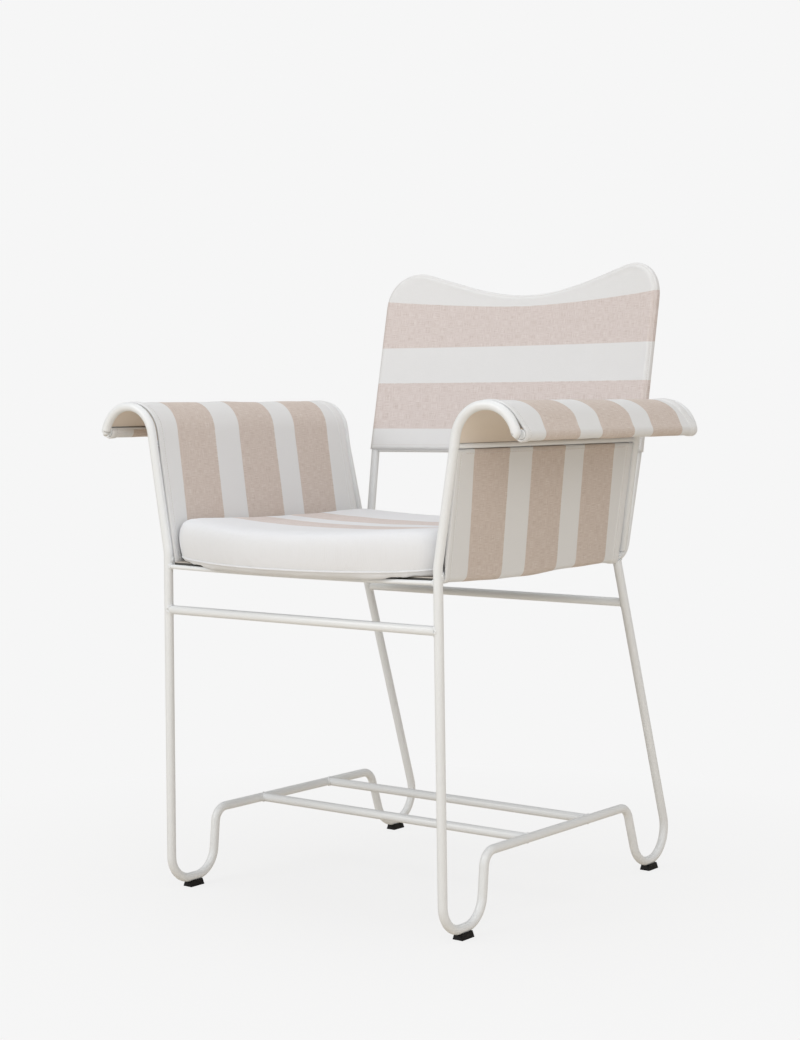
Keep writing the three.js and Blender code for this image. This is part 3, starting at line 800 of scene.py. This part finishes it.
def buildBackCover():
    b = backCover
    points, uvs, faces, mouth, rings = backSection(0.0, True)
    inner = backSection(b["cloth"], False)
    shift = len(points)
    faces += [tuple(shift + k for k in face[::-1]) for face in inner[2]]
    for k, start in enumerate(mouth):  # closes the cloth's edge round the mouth
        following = (k + 1) % len(mouth)
        faces.append((start, shift + inner[3][k], shift + inner[3][following], mouth[following]))
    cover = linkCloth("backCover", [placed(*p) for p in points + inner[0]], faces, uvs + inner[1])
    # the back takes the lighter copy of the beige, which is painted light
    material = clothMaterial("backCloth", "UV", backStripes["bands"], "backBeige", "white")
    finishPiece(cover, material, "back_cloth", "back_cover")
    seamStep = round(b["seamAngle"] / 180 * b["rimSteps"])
    seam = [placed(*points[ring[seamStep]]) for ring in rings]
    buildStitches("backSeamStitches", [seam], "back_cloth", thickness=0.0003)
    z = b["hemZ"]
    hem = [placed(x, backY(x, z) - b["side"] - 0.0001, z)
           for x in np.linspace(-chair["backHalf"], chair["backHalf"], 60)]
    buildStitches("backHemStitches", [hem], "back_cloth", thickness=0.0003)


# Cloth sleeves over the arms

armCover = {
    "front": -0.0546, "rear": 0.3505, "half": 0.0008,
    "hemX": 0.2470, "hemZ": 0.6021,
    "wrap": 0.0071, "archRadius": 0.0479, "rodEnd": -200,
    "frontHem": 0.0105, "rearHem": 0.0140,
    "hemThickness": 0.0013, "hemInside": 0.0032,
    "hemLow": (0.008, 0.0009), "freeTop": (0.604, 0.588),
    "stitchInset": 0.0018, "lowStitches": 0.0062,
    "edgeSteps": (0, 0.0004, 0.0009, 0.0014, 0.003, 0.0045),
    "seamSteps": (-0.004, -0.0032, -0.0025, -0.0018, -0.0011, -0.0005, 0.0001, 0.0007, 0.0013, 0.0022),
    "sag": 0.0030, "lumps": 0.0013,
    "softReach": 10, "hemSkew": -0.0150,
    "railSkews": (-0.005, -0.018), "archSkews": (-0.012, 0.001), "rodSkews": (-0.009, -0.010),
    "stripes": [(-0.0036, 0.0721), (0.1232, 0.2004), (0.2464, 0.3219)],
}


def tangentAngle(first, second):  # normal of the line that touches two circles on their left side
    heading = math.atan2(second[1] - first[1], second[0] - first[0])
    return math.degrees(heading + math.acos((first[2] - second[2]) / flatGap(first, second)))


def runsOf(section):  # length of the cloth from its start to each point
    return np.cumsum([0.0] + [flatGap(a, b) for a, b in zip(section, section[1:])]).tolist()


def softenSkews(section):  # lets the stripes bend softly where their lean changes
    runs = runsOf(section)
    even = np.arange(0.0, runs[-1], 0.001)
    reach = armCover["softReach"]
    weights = np.hanning(2 * reach + 3)[1:-1]
    skews = np.pad(np.interp(even, runs, [point[2] for point in section]), reach, mode="edge")
    soft = np.interp(runs, even, np.convolve(skews, weights / weights.sum(), "valid"))
    return [(point[0], point[1], float(skew)) for point, skew in zip(section, soft)]


def sleeveSection():  # middle of the cloth across an arm, with how far the stripes run forward there
    c, a = chair, armCover
    hem = (a["hemX"], a["hemZ"], 0)
    rail = (c["seatX"], c["seatZ"], a["wrap"])
    arch = (c["archX"], c["archZ"], a["archRadius"])
    rod = (c["rodX"], c["rodZ"], a["wrap"])
    points = [(hem[0], hem[1], a["hemSkew"])]

    def arc(circle, start, end, count, skews):
        for step in range(count + 1):
            angle = math.radians(start + (end - start) * step / count)
            skew = skews[0] + (skews[1] - skews[0]) * step / count
            x, z = circle[0] + circle[2] * math.cos(angle), circle[1] + circle[2] * math.sin(angle)
            points.append((x, z, skew))

    arc(rail, tangentAngle(hem, rail), tangentAngle(rail, arch) - 360, 24, a["railSkews"])
    arc(arch, tangentAngle(rail, arch), tangentAngle(arch, rod), 40, a["archSkews"])
    arc(rod, tangentAngle(arch, rod), a["rodEnd"], 32, a["rodSkews"])
    fine = []
    for before, after in zip(points, points[1:]):
        count = max(1, math.ceil(flatGap(before, after) / 0.005))
        for step in range(count):
            fine.append(tuple(before[k] + (after[k] - before[k]) * step / count for k in range(3)))
    fine.append(points[-1])
    return softenSkews(fine)


def sectionNormals(section):
    normals = []
    for index in range(len(section)):
        before, after = section[max(index - 1, 0)], section[min(index + 1, len(section) - 1)]
        length = flatGap(before, after)
        normals.append((-(after[1] - before[1]) / length, (after[0] - before[0]) / length))
    return normals


def hemProfile(distance, width, thickness):  # extra cloth near a folded edge, then the dent of the stitches
    fold = thickness * smoothStep(width + 0.0012, width - 0.0006, distance)
    fold -= 0.6 * thickness * smoothStep(0.0014, 0.0, distance)
    dent = 0.75 * thickness * math.exp(-((distance - width + 0.0018) / 0.0011) ** 2)
    return fold - dent


def hemPlaces():  # rows along the arm, closer together at the hems
    a = armCover
    front, rear = a["front"], a["rear"]
    places = [front + d for d in a["edgeSteps"]] + [front + a["frontHem"] + d for d in a["seamSteps"]]
    places += list(np.linspace(front + 0.020, rear - 0.020, 64))
    places += [rear - a["rearHem"] - d for d in reversed(a["seamSteps"])]
    return places + [rear - d for d in reversed(a["edgeSteps"])]


def buildArmCover(side, word):
    c, a = chair, armCover
    section, places = sleeveSection(), hemPlaces()
    runs, normals = runsOf(section), sectionNormals(section)
    length = a["rear"] - a["front"]
    count = len(section)

    def surface(index, y, outer):
        x, z = section[index][:2]
        nx, nz = normals[index]
        fromFront, fromRear = y - a["front"], a["rear"] - y
        edge = min(fromFront, fromRear)
        width = a["frontHem"] if fromFront < fromRear else a["rearHem"]
        along = fromFront / length
        under = smoothStep(c["seatZ"] + 0.004, c["seatZ"] - a["wrap"], z)
        sag = a["sag"] * under * (math.sin(math.pi * along) ** 2 + 0.6 * math.sin(2 * math.pi * along))
        lump = a["lumps"] * noise.noise(Vector((runs[index] * 6, y * 17, side * 3.0)))
        lump *= smoothStep(0.0, 0.03, edge)
        # inside, the turned hem is thicker on the sides, where the cloth touches no tube
        free = smoothStep(c["seatZ"], c["seatZ"] + 0.02, z) * smoothStep(*a["freeTop"], z)
        free *= x < c["archX"]
        offset = -a["half"] + lump - hemProfile(edge, width, a["hemInside"]) * free
        if outer:
            offset = a["half"] + lump + hemProfile(edge, width, a["hemThickness"])
            if runs[index] < 0.02:
                offset += hemProfile(runs[index], *a["hemLow"])
        return placed(*skewed(side * (x + nx * offset), y, z + nz * offset - sag))

    vertices, uvs = [], []
    ring = 2 * count
    for y in places:
        along = (y - c["hookY"]) / (c["rearHookY"] - c["hookY"])
        for outer in (True, False):
            for index in (range(count) if outer else range(count - 1, -1, -1)):
                vertices.append(surface(index, y, outer))
                uvs.append((runs[index], y - section[index][2] * (1 + 0.2 * along)))
    faces = sweptFaces(len(places), ring)
    last = (len(places) - 1) * ring
    for k in range(count - 1):
        faces.append((k, ring - 1 - k, ring - 2 - k, k + 1))
        faces.append((last + k, last + k + 1, last + ring - 2 - k, last + ring - 1 - k))
    cover = linkCloth("armCover" + word.title(), vertices, faces, uvs)
    # the arms take the darker copy of the beige, which is painted shade
    material = clothMaterial("armCloth" + word.title(), "UV", a["stripes"], "armBeige", "white")
    finishPiece(cover, material, "arm_cloth", "arm_cover_" + word)
    seams = (a["front"] + a["frontHem"] - a["stitchInset"], a["rear"] - a["rearHem"] + a["stitchInset"])
    rows = [[surface(index, y, True) for index in range(count)] for y in seams]
    hemIndex = min(range(count), key=lambda k: abs(runs[k] - a["lowStitches"]))
    rows.append([surface(hemIndex, y, True) for y in places[16:-16]])
    buildStitches("armStitches" + word.title(), rows, "arm_cloth")


# Seat cushion: swelled by a cloth simulation, then dropped over the front rod and piped

seatCushion = {
    "voxel": 0.005, "frames": 20, "cap": 0.0035,
    "cloth": {"quality": 6, "mass": 0.3, "tension_stiffness": 15, "compression_stiffness": 15,
              "shear_stiffness": 5, "bending_stiffness": 0.5, "use_pressure": True,
              "uniform_pressure_force": 4.0},
    "pull": 0.85, "outside": 0.0012,
    "overhang": 0.0020, "belly": 0.0055,
    "cornerDrop": 0.0130, "cornerPush": 0.0070, "creases": 0.0007,
    "panFrontY": -0.052, "rodFrontY": -0.065,
    "overPanZ": 0.4482, "overRodZ": 0.4460, "pastRodZ": 0.4412,
    "pipingRadius": 0.0013, "pipingSides": 10, "pipingZ": 0.4506,
    "centreY": 0.12, "castFrom": 0.6,
    "stripes": [(0.030, 0.103), (0.153, 0.226)],
}


def buildCushion():
    s = seatCushion
    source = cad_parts["seat_cushion"]
    mesh = source.data.copy()
    cushion = linkObject("seatCushion", mesh)
    work = bmesh.new()
    work.from_mesh(mesh)
    bmesh.ops.remove_doubles(work, verts=work.verts, dist=0.00001)
    work.to_mesh(mesh)
    work.free()
    bakeModifier(cushion, "REMESH", mode="VOXEL", voxel_size=s["voxel"])
    bakeModifier(cushion, "SMOOTH", iterations=4)
    swell(cushion)
    pullToSolid(cushion, source)
    dropFront(cushion)
    bakeModifier(cushion, "SUBSURF", levels=1, render_levels=1)
    smoothOutward(cushion)
    bands = [(start + frontOrigin, end + frontOrigin) for start, end in s["stripes"]]
    # the cushion takes the lighter copy of the beige, which is painted light
    material = clothMaterial("cushionCloth", "Object", bands, "backBeige", "cushionWhite")
    finishPiece(cushion, material, "cushion_cloth", "seat_cushion")
    buildPiping(cushion, material)


def swell(cushion):
    s = seatCushion
    rest = [v.co.copy() for v in cushion.data.vertices]
    cloth = cushion.modifiers.new("cloth", "CLOTH")
    setAll(cloth.settings, s["cloth"])
    cloth.settings.effector_weights.gravity = 0
    scene = bpy.context.scene
    cloth.point_cache.frame_start = 1
    cloth.point_cache.frame_end = s["frames"]
    for step in range(1, s["frames"] + 1):
        scene.frame_set(step)
    toPlainMesh(cushion)
    scene.frame_set(1)
    for vertex, before in zip(cushion.data.vertices, rest):
        move = vertex.co - before
        if move.length > s["cap"]:
            vertex.co = before + move * (s["cap"] / move.length)
    bakeModifier(cushion, "SMOOTH", iterations=2)


def pullToSolid(cushion, source):  # brings the softened edges back out, and no part leaves the solid's room
    s = seatCushion
    tree = BVHTree.FromObject(source, bpy.context.evaluated_depsgraph_get())
    for vertex in cushion.data.vertices:
        near, normal = tree.find_nearest(vertex.co)[:2]
        gap = near - vertex.co
        if gap.dot(normal) > 0:
            vertex.co += gap * s["pull"]
        elif gap.length > s["outside"]:
            vertex.co = near - gap.normalized() * s["outside"]
    bakeModifier(cushion, "SMOOTH", iterations=2)


def dropFront(cushion):  # the part past the front rod hangs lower, and faint creases cross the cloth
    s = seatCushion
    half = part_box("seat_cushion")[1].x
    for vertex in cushion.data.vertices:
        co = vertex.co
        y, z = co.y - frontOrigin, co.z
        across = min(abs(co.x) / half, 1)
        over = smoothStep(s["panFrontY"], s["panFrontY"] - 0.008, y)
        past = smoothStep(s["rodFrontY"], s["rodFrontY"] - 0.012, y)
        corner = smoothStep(0.45, 0.88, across) * smoothStep(-0.010, -0.040, y)
        low = smoothStep(0.470, 0.452, z)
        push = s["cornerPush"] * smoothStep(0.66, 0.90, across) * smoothStep(0.0, -0.038, y)
        co.x += math.copysign(push * 0.75, co.x)
        co.y -= push * 0.65
        co.x = math.copysign(min(abs(co.x), half - 0.0003), co.x)
        co.z -= (s["overhang"] * over + s["belly"] * past + s["cornerDrop"] * corner) * low
        crease = s["creases"] * noise.noise(Vector((co.x * 16, y * 20, z * 10)))
        co.z += crease * (1 - low)
        co.y += crease * over
        floorZ = s["overRodZ"] if y > s["rodFrontY"] else s["pastRodZ"]
        if y > s["panFrontY"] - 0.004:
            floorZ = s["overPanZ"]
        co.z = max(co.z, floorZ)


def buildPiping(cushion, material):
    s = seatCushion
    tree = BVHTree.FromObject(cushion, bpy.context.evaluated_depsgraph_get())
    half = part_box("seat_cushion")[1].x
    centre = placed(0, s["centreY"], 0)
    ring = []
    for step in range(360):
        angle = math.radians(step)
        heading = Vector((math.cos(angle), math.sin(angle), 0))
        point = centre + heading * 0.2
        for attempt in range(3):  # the height follows the place across, so it settles in a few casts
            u = max(-1.0, min(1.0, point.x / half))
            rise = 0.005 * abs(u) ** 6 + 0.0025 * max(u, 0) ** 3 + 0.004 * smoothStep(0.0, 0.7, heading.y)
            start = Vector((centre.x, centre.y, s["pipingZ"] + rise)) + heading * s["castFrom"]
            point = tree.ray_cast(start, -heading)[0] or point
        ring.append(point + heading * s["pipingRadius"] * 0.1)
    softRing = [(ring[k - 1] + ring[k] * 2 + ring[(k + 1) % len(ring)]) / 4 for k in range(len(ring))]
    piping = pathObject("cushionPiping", [softRing], closed=True)
    values = {"Radius": s["pipingRadius"], "Sides": s["pipingSides"], "Material": material}
    applyTree(piping, barTree, values)
    finishPiece(piping, material, "cushion_cloth")


def paintCarriedNodes():  # nodes that stay as they are get their own finish
    for name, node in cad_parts.items():
        if node.hide_render:
            continue
        node.data.materials.clear()
        node.data.materials.append(plastic if name.startswith("glide") else paint)


# Stage, lights and camera

stageSettings = {
    "background": (0.922, 0.922, 0.922, 1),
    "floorSize": 40.0,
    "floorPaper": (0.90, 0.90, 0.90, 1),
    "floorBounce": (0.76, 0.69, 0.59, 1),
    "shadowFade": (0.2, 0.9, 0.85, 1.0),
    "lightTarget": (0, 0.15, 0.45),
    "camera": (1.5741, -1.9292, 0.6398),
    "yaw": 36.986, "pitch": -3.0304,
    "focalPixels": 1928.14, "longSidePixels": 1040,
    "world": (1.0, 0.96, 0.905, 1), "worldStrength": 0.46,
}
studioLights = {  # place of each lamp, then its settings
    "key": ((-1.3, -2.6, 2.0), {"size": 1.8, "energy": 43, "color": (0.975, 0.99, 1.0)}),
    "fill": ((2.4, -1.6, 1.4), {"size": 2.4, "energy": 30, "color": (1.0, 0.99, 0.98)}),
    "top": ((0.2, 0.4, 2.8), {"size": 2.4, "energy": 19, "color": (0.98, 0.99, 1.0)}),
}


def buildWorld():
    s = stageSettings
    world = bpy.data.worlds.new("studio")
    bpy.context.scene.world = world
    tree = emptyTree(world)
    path = addNode(tree, "LightPath").outputs
    light = outOf(tree, "Background", {"Color": s["world"], "Strength": s["worldStrength"]})
    seen = outOf(tree, "Background", {"Color": s["background"]})
    mix = outOf(tree, "MixShader", {0: path["Is Camera Ray"], 1: light, 2: seen})
    addNode(tree, "OutputWorld", {"Surface": mix})


def buildFloor():  # pale paper: the camera sees the backdrop's colour with the chair's soft shadow in it
    s = stageSettings
    half = s["floorSize"] / 2
    corners = [(-half, -half, 0), (half, -half, 0), (half, half, 0), (-half, half, 0)]
    floor = linkMesh("floor", corners, [(0, 1, 2, 3)])
    material = bpy.data.materials.new("floorPaper")
    tree = emptyTree(material)
    place = addNode(tree, "TexCoord").outputs["Object"]
    distance = addNode(tree, "VectorMath", {0: place}, operation="LENGTH").outputs["Value"]
    seen = addNode(tree, "LightPath").outputs["Is Camera Ray"]
    paper = mixColours(tree, seen, s["floorBounce"], s["floorPaper"])
    diffuse = outOf(tree, "BsdfDiffuse", {"Color": paper})
    plain = outOf(tree, "Emission", {"Color": s["background"]})
    share = mathNode(tree, "MULTIPLY", rangeNode(tree, distance, *s["shadowFade"]), seen)
    blend = outOf(tree, "MixShader", {0: share, 1: diffuse, 2: plain})
    addNode(tree, "OutputMaterial", {"Surface": blend})
    floor.data.materials.append(material)


def hangUp(name, data, place, heading):  # a lamp or camera that looks along a heading
    made = linkObject(name, data)
    made.location = place
    made.rotation_mode = "QUATERNION"
    made.rotation_quaternion = heading.to_track_quat("-Z", "Y")
    return made


def buildLights():
    target = placed(*stageSettings["lightTarget"])
    for name, (where, settings) in studioLights.items():
        data = bpy.data.lights.new(name, "AREA")
        setAll(data, settings)
        place = placed(*where)
        hangUp(name, data, place, target - place)


def buildCamera():
    s = stageSettings
    scene = bpy.context.scene
    data = bpy.data.cameras.new("camera")
    data.sensor_width = 36
    data.lens = s["focalPixels"] * data.sensor_width / s["longSidePixels"]
    data.clip_start = 0.05
    data.clip_end = 100
    yaw, pitch = math.radians(s["yaw"]), math.radians(s["pitch"])
    forward = Vector((-math.sin(yaw) * math.cos(pitch), math.cos(yaw) * math.cos(pitch), math.sin(pitch)))
    scene.camera = hangUp("camera", data, placed(*s["camera"]), forward)
    scene.view_settings.view_transform = "Standard"


for side, word in ((-1, "left"), (1, "right")):
    buildSideTubes(side, word)
    buildArmPlate(side, word)
buildCrossTubes()
buildPan()
buildWelds()
print("stage 2: frame tubes, plates and welds built")
buildBackCover()
for side, word in ((-1, "left"), (1, "right")):
    buildArmCover(side, word)
print("stage 3: cloth covers and their stitches built")
buildCushion()
paintCarriedNodes()
print("stage 4: cushion built")
buildWorld()
buildFloor()
buildLights()
buildCamera()
print("stage 5: stage, lights and camera set")

bpy.context.view_layer.update()
